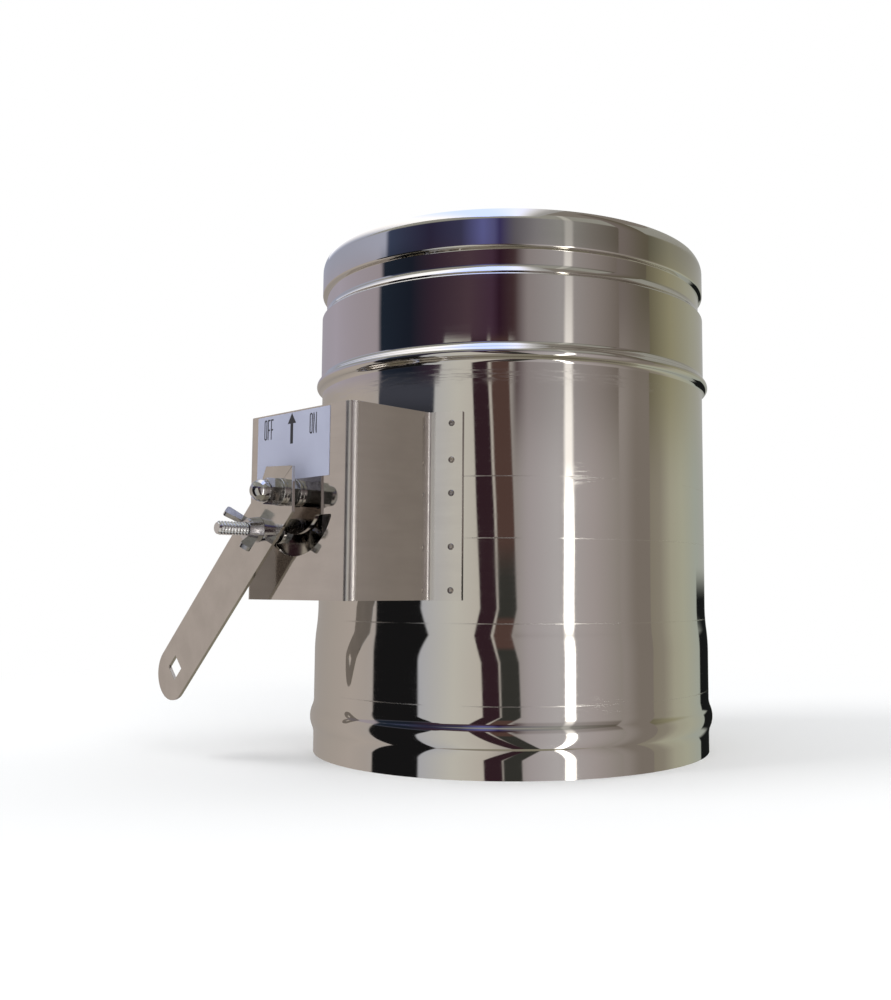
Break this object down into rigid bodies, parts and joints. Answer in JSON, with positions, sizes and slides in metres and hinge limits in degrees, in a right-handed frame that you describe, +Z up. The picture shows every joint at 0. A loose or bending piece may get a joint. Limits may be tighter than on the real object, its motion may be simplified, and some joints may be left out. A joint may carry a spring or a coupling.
{
  "type": "flue damper",
  "caption": "Single-wall stainless flue pipe section with a butterfly blade and a slotted hand lever to shut it.",
  "frame": {"origin": "centre of the lower opening, on the pipe's axis", "axes": "+Z up the pipe's axis towards the spigot end; -Y towards the bracket and lever, along the spindle; X completes the frame"},
  "size_m": [0.2064, 0.2719, 0.25],
  "materials": {
    "polished_stainless": "polished",
    "bright_steel": "satin",
    "zinc_plate": "satin",
    "label_film": "satin"
  },
  "bodies": {
    "housing": {"pipe_body": "polished_stainless", "bracket": "polished_stainless", "scale_label": "label_film", "front_bush": "bright_steel", "rear_bush": "bright_steel", "face_bush": "bright_steel"},
    "damper": {"spindle": "bright_steel", "blade": "polished_stainless", "saddle_front": "polished_stainless", "saddle_rear": "polished_stainless", "blade_rivets": "bright_steel", "face_washer": "zinc_plate", "lever_nut": "zinc_plate", "lever": "polished_stainless", "lever_washer": "zinc_plate", "acorn_nut": "zinc_plate", "rear_washer": "zinc_plate", "retaining_ring": "bright_steel", "clamp_bolt": "zinc_plate", "clamp_back_washer": "zinc_plate", "clamp_front_washer": "zinc_plate", "clamp_nut": "zinc_plate"},
    "wing": {"wing_nut": "zinc_plate"}
  },
  "joints": [
    {"name": "damper_turn", "type": "hinge", "parent": "housing", "child": "damper", "pos_m": [0, 0, 0.122], "axis": [0, -1, 0], "range_deg": [-7.5, 100.5]},
    {"name": "wing_turn", "type": "hinge", "parent": "damper", "child": "wing", "pos_m": [-0.01632, -0.1505, 0.10651], "axis": [0, -1, 0], "continuous": true}
  ]
}
